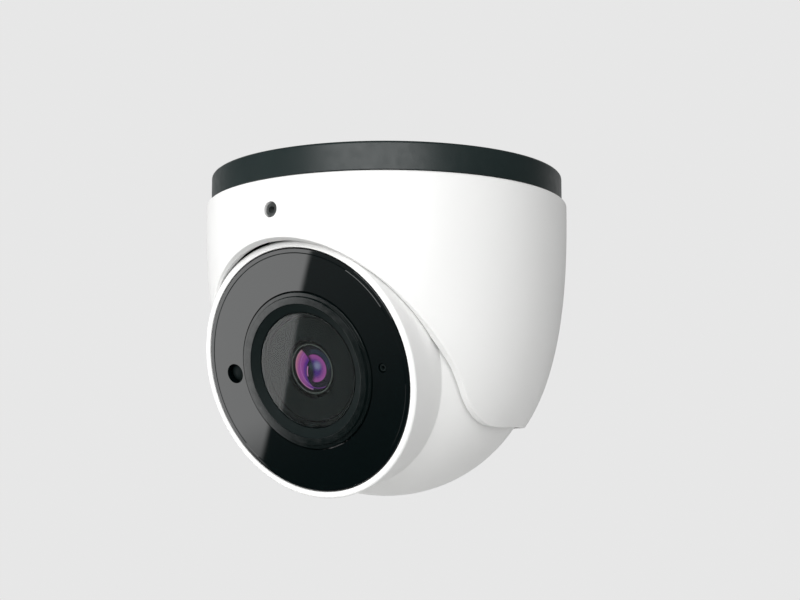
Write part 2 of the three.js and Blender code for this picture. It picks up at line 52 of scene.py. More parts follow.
joints = {joint["name"]: joint for joint in frame["joints"]}
ball_centre = Vector(joints["roll"]["pos_m"])
optical_axis = Vector(joints["roll"]["axis"])
tilt = asin(-optical_axis.z)
ROLL = radians(-1.8)
eye_turn = Matrix.Rotation(pi / 2 + tilt, 4, "X") @ Matrix.Rotation(ROLL, 4, "Z")
eye_place = Matrix.Translation(ball_centre) @ eye_turn
upright = Matrix.Identity(4)

# ---- Driving sizes, in millimetres ----

GAP = 0.3
BASE = dict(radius=53.5, height=8.3, plate=3, cable_hole=20)
SKIRT = dict(inner=48.6, outer=50, bottom=22, flange=52, flange_thickness=1.4)
CEILING_HOLE = dict(radius=2.25, circle=41.5, count=3, head=4.2, depth=1.2)
HOOD = dict(radius=54.91, crown=8.53, top=8.6, bottom=80.5, wall=1.65, mouth_wall=3.4,
            swell=(22, 26, 46, 62), edge=0.9, length=81.66, fullness=2.413, roundness=3.602)
MOUTH = dict(y=-54.4, z=-26.3, low_y=-24.2, low_z=-62.7, fillet=22, floor=77.7, floor_tilt=3.4)
LIP = dict(round=0.4, setback=0.4, lift=3.1)
LOCK = dict(z=17.7, radius=2, pocket=2.3, socket=2, length=4, recess=0.6)
BALL = dict(radius=46.45, wall=2.4, rear=30, split=-6)
NECK = dict(radius=37.6, room=0.45, face=40.2, edge=0.6, bore=33)
GLASS = dict(radius=35.4, hole=23.2, thickness=2.5, border=34.1, groove=0.14)
BEZEL = dict(radius=22.9, step=21.6, inner=19.6, height=0.88, seat=17, ledge=15.5, flange=1, drop=1.5)
WINDOW = dict(radius=16.7, drop=0.4, thickness=1.5)
BAFFLE = dict(hole=8.4, thickness=1.6)
LENS = dict(head=7.4, bore=6.95, thread=6, front=37, shoulder=31, rear=20.6, throat=5, mouth=3.8)
FRONT_LENS = dict(radius=6.65, back=33.8, edge=36.3, crown=37.1)
SENSOR = dict(circle=26.7, radius=2.55, hole=2.9, foot=32.7, drop=1.1)
MIC = dict(circle=26.9, tube=1.05, bore=0.6, hole=1.35, foot=35.3, drop=0.3)
SHELL_SCREW = dict(circle=38.2, count=3, pocket=3, floor=-13)
GLAND = dict(bore=2.6, neck=6.6, flange=9, tip=4.5, end=43, inside=5.4)
COLLAR = dict(inner=30, outer=34, lining=1.5)


# ---- Finishes ----

class Finish:
    """A Principled material whose patterns are laid out on Object coordinates."""

    def __init__(self, name, color, roughness, metallic=0.0, **sockets):
        self.material = bpy.data.materials.new(name)
        self.material.use_nodes = True
        self.tree = self.material.node_tree
        self.shader = self.tree.nodes["Principled BSDF"]
        self.shader.inputs["Base Color"].default_value = (*color, 1)
        self.shader.inputs["Roughness"].default_value = roughness
        self.shader.inputs["Metallic"].default_value = metallic
        for socket, value in sockets.items():
            label = socket.replace("_", " ").title().replace("Ior", "IOR")
            self.shader.inputs[label].default_value = value
        self.place = self.tree.nodes.new("ShaderNodeTexCoord").outputs["Object"]

    def noise(self, size, detail=4.0, stretch=(1, 1, 1)):
        """Noise whose blotches are about size millimetres across."""
        mapping = self.tree.nodes.new("ShaderNodeMapping")
        mapping.inputs["Scale"].default_value = stretch
        self.tree.links.new(self.place, mapping.inputs["Vector"])
        noise = self.tree.nodes.new("ShaderNodeTexNoise")
        noise.inputs["Scale"].default_value = 1 / (size * MM)
        noise.inputs["Detail"].default_value = detail
        self.tree.links.new(mapping.outputs["Vector"], noise.inputs["Vector"])
        return noise.outputs["Fac"]

    def spread(self, value, low, high, start=0.3, end=0.7):
        """Maps a 0 to 1 pattern onto the range low to high."""
        ramp = self.tree.nodes.new("ShaderNodeMapRange")
        ramp.inputs["From Min"].default_value = start
        ramp.inputs["From Max"].default_value = end
        ramp.inputs["To Min"].default_value = low
        ramp.inputs["To Max"].default_value = high
        self.tree.links.new(value, ramp.inputs["Value"])
        return ramp.outputs["Result"]

    def layer(self, under, over, mask):
        """Lays one colour over another where the mask is 1; each is a colour or another layer."""
        mix = self.tree.nodes.new("ShaderNodeMix")
        mix.data_type = "RGBA"
        for socket, color in ((mix.inputs["A"], under), (mix.inputs["B"], over)):
            if isinstance(color, tuple):
                socket.default_value = (*color, 1)
            else:
                self.tree.links.new(color, socket)
        self.tree.links.new(mask, mix.inputs["Factor"])
        return mix.outputs["Result"]

    def color(self, layers):
        self.tree.links.new(layers, self.shader.inputs["Base Color"])
        return self

    def vary_color(self, value, dark, light):
        return self.color(self.layer(dark, light, value))

    def on_eye(self):
        """The spot in the eyeball's own millimetres."""
        mapping = self.tree.nodes.new("ShaderNodeMapping")
        mapping.vector_type = "TEXTURE"
        mapping.inputs["Location"].default_value = ball_centre
        mapping.inputs["Rotation"].default_value = eye_place.to_euler()
        mapping.inputs["Scale"].default_value = (MM, MM, MM)
        self.tree.links.new(self.place, mapping.inputs["Vector"])
        return mapping.outputs["Vector"]

    def far_from(self, spot, x, y):
        """How far the spot is from the line along the optical axis through x and y."""
        flat = self.tree.nodes.new("ShaderNodeVectorMath")
        flat.operation = "MULTIPLY_ADD"
        flat.inputs[1].default_value = (1, 1, 0)
        flat.inputs[2].default_value = (-x, -y, 0)
        self.tree.links.new(spot, flat.inputs[0])
        length = self.tree.nodes.new("ShaderNodeVectorMath")
        length.operation = "LENGTH"
        self.tree.links.new(flat.outputs["Vector"], length.inputs[0])
        return length.outputs["Value"]

    def fade(self, value, start, end):
        """Goes smoothly from 0 at start to 1 at end, whichever is larger."""
        ramp = self.tree.nodes.new("ShaderNodeMapRange")
        ramp.interpolation_type = "SMOOTHSTEP"
        low, high = min(start, end), max(start, end)
        ramp.inputs["From Min"].default_value = low
        ramp.inputs["From Max"].default_value = high
        ramp.inputs["To Min"].default_value = 0 if start < end else 1
        ramp.inputs["To Max"].default_value = 1 if start < end else 0
        self.tree.links.new(value, ramp.inputs["Value"])
        return ramp.outputs["Result"]

    def both(self, first, second):
        product = self.tree.nodes.new("ShaderNodeMath")
        product.operation = "MULTIPLY"
        self.tree.links.new(first, product.inputs[0])
        self.tree.links.new(second, product.inputs[1])
        return product.outputs["Value"]

    def ring(self, value, radius, half, soft):
        """1 within half of the radius, fading out over soft."""
        inner = self.fade(value, radius - half - soft, radius - half)
        return self.both(inner, self.fade(value, radius + half + soft, radius + half))

    def vary_roughness(self, value):
        self.tree.links.new(value, self.shader.inputs["Roughness"])
        return self

    def bump(self, value, height, strength=1.0):
        """Raises the surface by up to height millimetres where value is 1."""
        bump = self.tree.nodes.new("ShaderNodeBump")
        bump.inputs["Distance"].default_value = height * MM
        bump.inputs["Strength"].default_value = strength
        self.tree.links.new(value, bump.inputs["Height"])
        self.tree.links.new(bump.outputs["Normal"], self.shader.inputs["Normal"])
        return self


def white_paint():
    finish = Finish("white_powder_coat", (0.9, 0.9, 0.89), 0.36)
    finish.vary_color(finish.noise(22, 2), (0.875, 0.877, 0.87), (0.905, 0.905, 0.897))
    finish.vary_roughness(finish.spread(finish.noise(3.5), 0.31, 0.42))
    finish.bump(finish.noise(0.55, 3), 0.012, 0.5)
    return finish.material


def black_coat():
    finish = Finish("black_satin_coat", (0.012, 0.021, 0.021), 0.4)
    finish.vary_color(finish.noise(9, 3), (0.010, 0.018, 0.018), (0.014, 0.024, 0.024))
    finish.vary_roughness(finish.spread(finish.noise(2.5), 0.36, 0.44))
    finish.bump(finish.noise(0.4, 3), 0.010, 0.5)
    return finish.material


def black_plastic(name="black_moulded_plastic", roughness=0.5):
    finish = Finish(name, (0.016, 0.02, 0.02), roughness)
    finish.vary_color(finish.noise(6, 3), (0.013, 0.017, 0.017), (0.019, 0.024, 0.024))
    finish.vary_roughness(finish.spread(finish.noise(1.2), roughness - 0.07, roughness + 0.08))
    finish.bump(finish.noise(0.3, 4), 0.012, 0.6)
    return finish.material


def dark_interior():
    """Almost black matte plastic round the lens and in the holes of the face."""
    finish = Finish("dark_matte_interior", (0.006, 0.010, 0.010), 0.5, specular_ior_level=0.12)
    finish.vary_color(finish.noise(3, 3), (0.005, 0.009, 0.009), (0.008, 0.013, 0.013))
    finish.vary_roughness(finish.spread(finish.noise(0.8), 0.42, 0.58))
    return finish.material


def gloss_black():
    finish = Finish("polished_black_bezel", (0.002, 0.005, 0.005), 0.1, specular_ior_level=0.4)
    finish.vary_color(finish.noise(5, 2), (0.0015, 0.004, 0.004), (0.003, 0.006, 0.006))
    finish.vary_roughness(finish.spread(finish.noise(2.0), 0.07, 0.13))
    finish.bump(finish.noise(0.5, 2), 0.003, 0.4)
    return finish.material


def smoked_glass():
    finish = Finish("smoked_face_glass", (0.001, 0.003, 0.0032), 0.025)
    finish.vary_color(finish.noise(18, 2), (0.0006, 0.0026, 0.0028), (0.0012, 0.0034, 0.0036))
    finish.vary_roughness(finish.spread(finish.noise(6, 2), 0.006, 0.016))
    return finish.material


def clear_glass():
    finish = Finish("clear_window_glass", (0.93, 0.99, 0.98), 0.01, transmission_weight=1.0, ior=1.33)
    finish.vary_roughness(finish.spread(finish.noise(5, 2), 0.004, 0.012))
    return finish.material


def rubber():
    finish = Finish("black_rubber", (0.02, 0.021, 0.021), 0.75)
    finish.vary_color(finish.noise(4, 4), (0.016, 0.017, 0.017), (0.027, 0.028, 0.028))
    finish.vary_roughness(finish.spread(finish.noise(1.0), 0.66, 0.84))
    finish.bump(finish.noise(0.25, 5), 0.02, 0.7)
    return finish.material


def dark_steel():
    finish = Finish("blackened_screw_steel", (0.2, 0.21, 0.21), 0.36, 0.9)
    finish.vary_color(finish.noise(0.5, 4), (0.15, 0.16, 0.16), (0.25, 0.26, 0.26))
    finish.vary_roughness(finish.spread(finish.noise(0.3, 3), 0.3, 0.46))
    finish.bump(finish.noise(0.12, 3), 0.003, 0.5)
    return finish.material


def steel():
    finish = Finish("screw_steel", (0.5, 0.51, 0.52), 0.32, 1.0)
    finish.vary_color(finish.noise(0.8, 4), (0.42, 0.43, 0.44), (0.6, 0.61, 0.62))
    finish.vary_roughness(finish.spread(finish.noise(0.4, 3), 0.24, 0.42))
    finish.bump(finish.noise(0.15, 3), 0.004, 0.5)
    return finish.material


def aluminium():
    finish = Finish("satin_aluminium", (0.72, 0.73, 0.74), 0.4, 1.0)
    finish.vary_color(finish.noise(3, 4), (0.64, 0.65, 0.66), (0.78, 0.79, 0.8))
    finish.vary_roughness(finish.spread(finish.noise(0.6, 4, (1, 8, 1)), 0.32, 0.5))
    finish.bump(finish.noise(0.3, 3, (1, 10, 1)), 0.006, 0.5)
    return finish.material


def circuit_board():
    finish = Finish("green_circuit_board", (0.02, 0.13, 0.06), 0.42)
    tracks = finish.tree.nodes.new("ShaderNodeTexVoronoi")
    tracks.feature = "DISTANCE_TO_EDGE"
    tracks.inputs["Scale"].default_value = 1 / (2.2 * MM)
    finish.tree.links.new(finish.place, tracks.inputs["Vector"])
    finish.vary_color(finish.spread(tracks.outputs["Distance"], 1, 0, 0.02, 0.06), (0.012, 0.095, 0.045),
                      (0.03, 0.19, 0.085))
    finish.vary_roughness(finish.spread(finish.noise(1.5), 0.34, 0.5))
    finish.bump(tracks.outputs["Distance"], 0.03, 0.5)
    return finish.material


def chip():
    finish = Finish("chip_epoxy", (0.03, 0.031, 0.034), 0.55)
    finish.vary_color(finish.noise(0.6, 5), (0.024, 0.025, 0.028), (0.04, 0.041, 0.044))
    finish.bump(finish.noise(0.1, 3), 0.006, 0.6)
    return finish.material


def white_plastic():
    finish = Finish("off_white_plastic", (0.8, 0.79, 0.75), 0.45)
    finish.vary_color(finish.noise(4, 3), (0.76, 0.75, 0.71), (0.83, 0.82, 0.78))
    finish.bump(finish.noise(0.25, 3), 0.01, 0.5)
    return finish.material


def flex_film():
    finish = Finish("amber_flex_film", (0.5, 0.24, 0.06), 0.35)
    finish.vary_color(finish.noise(1.0, 2, (1, 12, 1)), (0.38, 0.17, 0.04), (0.62, 0.32, 0.09))
    finish.bump(finish.noise(0.4, 2, (1, 10, 1)), 0.02, 0.5)
    return finish.material


def tinted_glass(name, color):
    finish = Finish(name, color, 0.03, transmission_weight=0.85, ior=1.5)
    finish.vary_roughness(finish.spread(finish.noise(2, 2), 0.02, 0.05))
    return finish.material


def black_barrel():
    """A black anodised barrel with a bright line round its front edge."""
    finish = Finish("black_anodised_barrel", (0.018, 0.018, 0.018), 0.3)
    edge = finish.ring(finish.far_from(finish.on_eye(), 0, 0), 7.15, 0.1, 0.12)
    finish.color(finish.layer((0.014, 0.014, 0.014), (0.13, 0.15, 0.13), edge))
    return finish.material


def lens_painted_reflections():
    """A dark lens whose base colour holds painted reflections: violet and pink shapes, arcs, a highlight and a
    glint that the coatings and the curved glass below would throw back.
    """
    finish = Finish("front_lens_painted_reflections", (0.016, 0.012, 0.026), 0.05, specular_ior_level=0.15)
    spot = finish.on_eye()
    hollow = finish.far_from(spot, 3.4, -1.7)
    crescent = finish.both(finish.fade(hollow, 5.55, 5.85),
                           finish.fade(finish.far_from(spot, -7.5, -1.2), 8.2, 7.8))
    eye = finish.far_from(spot, 0.9, 0.1)
    right = finish.fade(finish.far_from(spot, -6, 0), 6.0, 7.6)
    centre = finish.far_from(spot, 0, 0)
    dark = finish.layer((0.006, 0.004, 0.010), (0.014, 0.010, 0.026), finish.noise(1.5, 3))
    # A painted reflection: a teal-blue band round the upper right of the reflected ellipse.
    upper = finish.fade(finish.far_from(spot, 4, 3.5), 5.5, 3.2)
    shade = finish.layer(dark, (0.03, 0.045, 0.085), finish.both(finish.ring(eye, 4.9, 0.35, 0.5), upper))
    # A painted reflection of an inner lens element: a violet to magenta ellipse with a painted bluish highlight.
    painted_inner_reflection = finish.layer((0.11, 0.03, 0.34), (0.56, 0.12, 0.5), finish.fade(eye, 1.8, 3.7))
    painted_highlight = finish.fade(finish.far_from(spot, 2.1, 0.9), 1.9, 0.3)
    painted_inner_reflection = finish.layer(painted_inner_reflection, (0.36, 0.36, 0.6), painted_highlight)
    # A painted dark teal reflection beside the ellipse.
    painted_dark_reflection = finish.fade(finish.far_from(spot, 0.4, 0.8), 1.9, 0.6)
    shade = finish.layer(shade, (0.035, 0.06, 0.085), painted_dark_reflection)
    shade = finish.layer(shade, painted_inner_reflection, finish.both(finish.fade(eye, 4.15, 3.9), right))
    # A painted reflection on the left: a pink to violet crescent crossed by thin painted arcs.
    violet = finish.layer((0.16, 0.03, 0.4), (0.56, 0.11, 0.52), finish.fade(hollow, 5.9, 7.6))
    violet = finish.layer(violet, (0.84, 0.26, 0.42), finish.fade(hollow, 8.3, 10))
    thin_arc = finish.ring(finish.far_from(spot, 1.5, 0), 5.72, 0.04, 0.16)
    violet = finish.layer(violet, (0.7, 0.22, 0.68), thin_arc)
    violet = finish.layer(violet, (0.9, 0.46, 0.64), finish.ring(centre, 6.2, 0.04, 0.16))
    shade = finish.layer(shade, violet, crescent)
    # A painted pink glint.
    glint = finish.both(finish.ring(hollow, 5.3, 0.14, 0.12),
                        finish.fade(finish.far_from(spot, -1.7, -0.6), 1.7, 1.3))
    shade = finish.layer(shade, (0.85, 0.3, 0.72), glint)
    # A thin painted purple reflection arc low on the right.
    low_arc = finish.both(finish.ring(finish.far_from(spot, 1.2, 0.8), 6.6, 0.05, 0.15),
                          finish.fade(finish.far_from(spot, 0.8, -6), 3.4, 2.4))
    shade = finish.layer(shade, (0.24, 0.05, 0.38), low_arc)
    finish.color(finish.layer(shade, (0.006, 0.007, 0.009), finish.fade(centre, 6.35, 6.5)))
    finish.vary_roughness(finish.spread(finish.noise(3, 2), 0.03, 0.07))
    return finish.material


FINISHES = {
    "white_paint": white_paint(),
    "base_black": black_coat(),
    "black_plastic": black_plastic(),
    "gloss_black": gloss_black(),
    "lens_black": black_barrel(),
    "white_plastic": white_plastic(),
    "rubber_black": rubber(),
    "smoked_glass": smoked_glass(),
    "clear_glass": clear_glass(),
    # The front lens's base colour holds painted reflections and a painted highlight.
    "coated_glass": lens_painted_reflections(),
    "infrared_glass": tinted_glass("red_cast_glass", (0.7, 0.2, 0.25)),
    "screw_steel": steel(),
    "bare_aluminium": aluminium(),
    "green_board": circuit_board(),
    "chip_black": chip(),
    "flex_copper": flex_film(),
}
INTERIOR = dark_interior()


# ---- Building helpers ----

def piece(name, bm, finish, body, place=upright, sharp=32):
    """Turns a bmesh in millimetres into a finished piece that rides on a body."""
    bmesh.ops.transform(bm, matrix=place @ Matrix.Scale(MM, 4), verts=bm.verts)
    mesh = bpy.data.meshes.new(name)
    bm.to_mesh(mesh)
    bm.free()
    mesh.materials.append(finish)
    mesh.polygons.foreach_set("use_smooth", [True] * len(mesh.polygons))
    mesh.set_sharp_from_angle(angle=radians(sharp))
    obj = bpy.data.objects.new(name, mesh)
    bpy.context.scene.collection.objects.link(obj)
    obj.modifiers.new("even_shading", "WEIGHTED_NORMAL").keep_sharp = True
    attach(obj, body)
    return obj


def wire(bm, outline, closed=True):
    """The outline's points [radius, height] as a chain of edges in the XZ plane."""
    corners = [bm.verts.new((radius, 0, height)) for radius, height in outline]
    ends = list(zip(corners, corners[1:]))
    if closed:
        ends.append((corners[-1], corners[0]))
    return [bm.edges.new(pair) for pair in ends]


def turned(outline, closed=True, steps=FINE):
    """A body of revolution about Z with its faces outward."""
    bm = bmesh.new()
    edges = wire(bm, outline, closed)
    bmesh.ops.spin(bm, geom=bm.verts[:] + edges, cent=(0, 0, 0), axis=(0, 0, 1), dvec=(0, 0, 0),
                   angle=2 * pi, steps=steps, use_merge=True, use_duplicate=False)
    bmesh.ops.remove_doubles(bm, verts=bm.verts[:], dist=1e-4)
    bmesh.ops.recalc_face_normals(bm, faces=bm.faces[:])
    return bm


def soften(bm, width, segments=3, angle=30, where=None):
    """Rounds the sharp edges, or those whose middle passes the test."""
    sharp = [edge for edge in bm.edges
             if len(edge.link_faces) == 2 and edge.calc_face_angle(0) > radians(angle)]
    if where:
        sharp = [edge for edge in sharp if where((edge.verts[0].co + edge.verts[1].co) / 2)]
    bmesh.ops.bevel(bm, geom=sharp, offset=width, offset_type="OFFSET", segments=segments, profile=0.5,
                    affect="EDGES", clamp_overlap=True, material=-1)
    return bm


def arc(radius, start, end, steps, centre=(0, 0)):
    """Points on a circle between two angles in degrees, counted from the outward radius."""
    turns = [radians(start + (end - start) * i / steps) for i in range(steps + 1)]
    return [(centre[0] + radius * cos(turn), centre[1] + radius * sin(turn)) for turn in turns]


def ball_arc(radius, low, high, steps):
    """Points on the ball's outline between two heights."""
    start, end = (asin(height / radius) * 180 / pi for height in (low, high))
    return arc(radius, start, end, steps)


def drill(radius, low, high, x=0.0, y=0.0, steps=SMALL, tip=None):
    """A cutter: a plain cylinder, or a cone if tip is given."""
    bm = bmesh.new()
    bmesh.ops.create_cone(bm, cap_ends=True, segments=steps, radius1=radius, radius2=tip or radius,
                          depth=high - low)
    bmesh.ops.translate(bm, verts=bm.verts, vec=(x, y, (low + high) / 2))
    return bm


def cut(bm, cutters):
    """Cuts the bodies of the cutters out of bm and returns the new bmesh."""
    objects = []
    for source in [bm] + cutters:
        mesh = bpy.data.meshes.new("work")
        source.to_mesh(mesh)
        source.free()
        obj = bpy.data.objects.new("work", mesh)
        bpy.context.scene.collection.objects.link(obj)
        objects.append(obj)
    target = objects[0]
    for tool in objects[1:]:
        modifier = target.modifiers.new("cut", "BOOLEAN")
        modifier.operation = "DIFFERENCE"
        modifier.solver = "EXACT"
        modifier.object = tool
    graph = bpy.context.evaluated_depsgraph_get()
    result = bmesh.new()
    result.from_object(target, graph)
    for obj in objects:
        mesh = obj.data
        bpy.data.objects.remove(obj)
        bpy.data.meshes.remove(mesh)
    return result


def around(circle, count, start=0.0):
    """Points at equal angles on a circle, from the start angle in degrees."""
    turns = [radians(start + 360 * i / count) for i in range(count)]
    return [(circle * cos(turn), circle * sin(turn)) for turn in turns]


# ---- Base ----

def base_ring():
    plate, skirt, flange = BASE["plate"], SKIRT["outer"], SKIRT["flange"]
    lip = SKIRT["bottom"] - SKIRT["flange_thickness"]
    bm = turned([
        (BASE["cable_hole"], 0), (BASE["radius"], 0), (BASE["radius"], -BASE["height"]),
        (skirt, -BASE["height"]), (skirt, -lip), (flange, -lip), (flange, -SKIRT["bottom"]),
        (SKIRT["inner"], -SKIRT["bottom"]),
        (SKIRT["inner"], -plate), (BASE["cable_hole"], -plate),
    ])
    soften(bm, 0.8, 4, where=lambda spot: spot.z > -0.01 and hypot(spot.x, spot.y) > 50)
    soften(bm, 0.25, 2, angle=60)
    cutters = []
    for x, y in around(CEILING_HOLE["circle"], CEILING_HOLE["count"], 90):
        cutters.append(drill(CEILING_HOLE["radius"], -plate - 1, 1, x, y))
        cutters.append(drill(CEILING_HOLE["head"], -plate - 1, -plate + CEILING_HOLE["depth"], x, y))
    obj = piece("base_ring_body", cut(bm, cutters), FINISHES["base_black"], "base")
    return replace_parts(obj, "base_ring")


# ---- Hood ----

def hood_radius(z):
    fall = max(0.0, (-HOOD["crown"] - z) / HOOD["length"])
    return HOOD["radius"] * (1 - fall ** HOOD["fullness"]) ** (1 / HOOD["roundness"])


def hood_wall(z):
    """The wall's thickness, which swells beside the mouth."""
    start, full, fade, end = HOOD["swell"]
    grown = min(1.0, max(0.0, (-z - start) / (full - start)), max(0.0, (end + z) / (end - fade)))
    return HOOD["wall"] + (HOOD["mouth_wall"] - HOOD["wall"]) * grown


def mouth_planes(setback, lift):
    """The planes along the mouth, its fillet and the floor, moved up into the hood by the setback."""
    top = MOUTH["z"] + lift
    run = Vector((0, MOUTH["low_y"] - MOUTH["y"], MOUTH["low_z"] - top)).normalized()
    mouth_up = Vector((0, -run.z, run.y))
    rise = radians(MOUTH["floor_tilt"])
    floor_up = Vector((0, -sin(rise), cos(rise)))
    fillet = MOUTH["fillet"]
    from_mouth = fillet + mouth_up.y * MOUTH["y"] + mouth_up.z * top
    from_floor = fillet - floor_up.z * MOUTH["floor"]
    turn = mouth_up.y * floor_up.z - mouth_up.z * floor_up.y
    centre = Vector((0, (from_mouth * floor_up.z - from_floor * mouth_up.z) / turn,
                     (from_floor * mouth_up.y - from_mouth * floor_up.y) / turn))
    lean = atan2(mouth_up.y, mouth_up.z)
    steps = 18
    planes = []
    for i in range(steps + 1):
        angle = lean - (lean + rise) * i / steps
        facing = Vector((0, sin(angle), cos(angle)))
        planes.append((centre - facing * (fillet - setback), facing))
    return planes


def trim_mouth(bm, faces, setback, lift=0.0):
    """Trims one skin of the hood along the mouth."""
    live = set(faces)
    for point, facing in mouth_planes(setback, lift):
        part = [face for face in live if face.is_valid]
        edges = {edge for face in part for edge in face.edges}
        verts = {vert for face in part for vert in face.verts}
        others = set(bm.faces) - set(part)
        bmesh.ops.bisect_plane(bm, geom=list(verts) + list(edges) + part, dist=1e-5, plane_co=point,
                               plane_no=-facing, clear_outer=True, clear_inner=False)
        live = {face for face in bm.faces if face not in others}


def rim_of(faces):
    return [edge for edge in {e for face in faces for e in face.edges} if len(edge.link_faces) == 1]


def roll_lip(bm, rim, radius, steps):
    """Rolls a rim over in a quarter round towards the wall's inside and returns the last row of edges."""
    outward, normal = {}, {}
    for edge in rim:
        face = edge.link_faces[0]
        for vert in edge.verts:
            normal.setdefault(vert, Vector())
            normal[vert] += face.normal
    for edge in rim:
        face = edge.link_faces[0]
        along = (edge.verts[1].co - edge.verts[0].co).normalized()
        away = along.cross(face.normal)
        if away.dot(face.calc_center_median() - edge.verts[0].co) > 0:
            away = -away
        for vert in edge.verts:
            outward.setdefault(vert, Vector())
            outward[vert] += away
    origin = {}
    row = rim
    start = {vert: (vert.co.copy(), normal[vert].normalized(), outward[vert].normalized())
             for vert in normal}
    for step in range(1, steps + 1):
        turn = pi / 2 * step / steps
        before = {vert for edge in row for vert in edge.verts}
        result = bmesh.ops.extrude_edge_only(bm, edges=row)
        fresh = [item for item in result["geom"] if isinstance(item, bmesh.types.BMVert)]
        row = [item for item in result["geom"] if isinstance(item, bmesh.types.BMEdge)
               and all(vert in fresh for vert in item.verts)]
        links = {}
        for vert in fresh:
            partner = next(edge.other_vert(vert) for edge in vert.link_edges
                           if edge.other_vert(vert) in before)
            links[vert] = origin.get(partner, partner)
        for vert, root in links.items():
            spot, facing, away = start[root]
            vert.co = spot + away * radius * sin(turn) - facing * radius * (1 - cos(turn))
        origin.update(links)
    return row


def hood_shell():
    rows = 44
    start = -HOOD["top"] - HOOD["edge"]
    heights = [start - (HOOD["bottom"] + start) * i / rows for i in range(rows + 1)]
    outside = [(hood_radius(z), z) for z in heights]
    inside = [(radius - hood_wall(z), z) for radius, z in reversed(outside)]
    inside.append((HOOD["radius"] - HOOD["wall"], -HOOD["top"]))
    rim = arc(HOOD["edge"], 90, 8, 5, (HOOD["radius"] - HOOD["edge"], start))
    bm = turned(inside + rim + outside[1:], closed=False)
    outer, inner = [], []
    for face in bm.faces:
        centre = face.calc_center_median()
        wall = hypot(centre.x, centre.y) - (hood_radius(centre.z) - HOOD["wall"] / 2)
        (outer if wall > 0 else inner).append(face)
    if max(outer, key=lambda f: f.calc_center_median().z).normal.z < 0:
        bmesh.ops.reverse_faces(bm, faces=bm.faces[:])
    bm.normal_update()
    trim_mouth(bm, outer, LIP["round"])
    trim_mouth(bm, [face for face in inner if face.is_valid], LIP["setback"], LIP["lift"])
    bmesh.ops.remove_doubles(bm, verts=bm.verts[:], dist=0.02)
    bm.normal_update()
    rims = rim_of(bm.faces[:])
    outer_rim = [edge for edge in rims if is_outer(edge)]
    inner_rim = [edge for edge in rims if not is_outer(edge)]
    last_outer = roll_lip(bm, outer_rim, LIP["round"], 4)
    bmesh.ops.bridge_loops(bm, edges=last_outer + inner_rim)
    bmesh.ops.recalc_face_normals(bm, faces=bm.faces[:])
    return bm


def is_outer(edge):
    middle = (edge.verts[0].co + edge.verts[1].co) / 2
    return hypot(middle.x, middle.y) > hood_radius(middle.z) - HOOD["wall"] / 2


def hood():
    hole = drill(LOCK["pocket"], SKIRT["outer"], HOOD["radius"] + 3)
    bmesh.ops.transform(hole, verts=hole.verts,
                        matrix=Matrix.Translation((0, 0, -LOCK["z"])) @ Matrix.Rotation(pi / 2, 4, "X"))
    clearance = drill(NECK["radius"] + NECK["room"], 0, HOOD["radius"] + 20, steps=FINE)
    bmesh.ops.transform(clearance, verts=clearance.verts,
                        matrix=Matrix.Scale(1 / MM, 4) @ eye_place @ Matrix.Scale(MM, 4))
    bm = cut(hood_shell(), [hole, clearance])
    obj = piece("hood_shell", bm, FINISHES["white_paint"], "hood_body", sharp=28)
    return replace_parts(obj, "hood")


# ---- Eyeball ----

def front_shell():
    radius, face, bore = NECK["radius"], NECK["face"], NECK["bore"]
    inner = BALL["radius"] - BALL["wall"]
    crease = sqrt(BALL["radius"] ** 2 - radius ** 2)
    seat = face - GLASS["thickness"] - GAP
    throat = sqrt(inner ** 2 - bore ** 2)
    bm = turned(
        ball_arc(BALL["radius"], BALL["split"], crease, 40)
        + [(radius, crease + (face - crease) * i / 6) for i in range(1, 7)]
        + [(GLASS["radius"] + GAP, face), (GLASS["radius"] + GAP, seat), (bore, seat)]
        + list(reversed(ball_arc(inner, BALL["split"], throat, 12)))
    )
    soften(bm, NECK["edge"], 5,
           where=lambda spot: spot.z > face - 0.1 and hypot(spot.x, spot.y) > radius - 0.1)
    soften(bm, 0.2, 2, angle=60, where=lambda spot: spot.z > face - 0.1)
    soften(bm, 0.35, 3, angle=25,
           where=lambda spot: abs(spot.z - crease) < 0.05 and hypot(spot.x, spot.y) > radius - 0.6)
    obj = piece("front_shell_body", bm, FINISHES["white_paint"], "eyeball", eye_place, 40)
    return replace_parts(obj, "front_shell")


def rear_shell():
    inner = BALL["radius"] - BALL["wall"]
    top = BALL["split"] - GAP
    rear = -BALL["rear"]
    gland = GLAND["neck"] + GAP
    bm = turned([(gland, rear)] + ball_arc(BALL["radius"], rear, top, 26)
                + list(reversed(ball_arc(inner, rear + BALL["wall"], top, 10)))
                + [(gland, rear + BALL["wall"])])
    soften(bm, 0.6, 3, where=lambda spot: spot.z < rear + 0.1)
    cutters = [drill(SHELL_SCREW["pocket"], -BALL["radius"], SHELL_SCREW["floor"], x, y, 40)
               for x, y in around(SHELL_SCREW["circle"], SHELL_SCREW["count"], 90)]
    shell = cut(bm, cutters)
    obj = piece("rear_shell_body", shell, FINISHES["white_paint"], "eyeball", eye_place)
    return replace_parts(obj, "rear_shell")


def front_glass():
    """The dark glass, with a fine groove just inside its rounded rim."""
    face, low = NECK["face"], NECK["face"] - GLASS["thickness"]
    border, groove = GLASS["border"], GLASS["groove"]
    bm = turned([
        (GLASS["hole"], low), (GLASS["radius"], low), (GLASS["radius"], face), (border + groove, face),
        (border, face - groove / 2), (border - groove, face), (GLASS["hole"], face),
    ])
    soften(bm, 0.2, 4, where=lambda spot: spot.z > face - 0.1 and hypot(spot.x, spot.y) > border + 1)
    cutters = [drill(SENSOR["hole"], low - 1, face + 1, -SENSOR["circle"], 0),
               drill(MIC["hole"], low - 1, face + 1, MIC["circle"], 0)]
    glass = cut(bm, cutters)
    obj = piece("face_glass", glass, FINISHES["smoked_glass"], "eyeball", eye_place, 12)
    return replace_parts(obj, "front_glass")


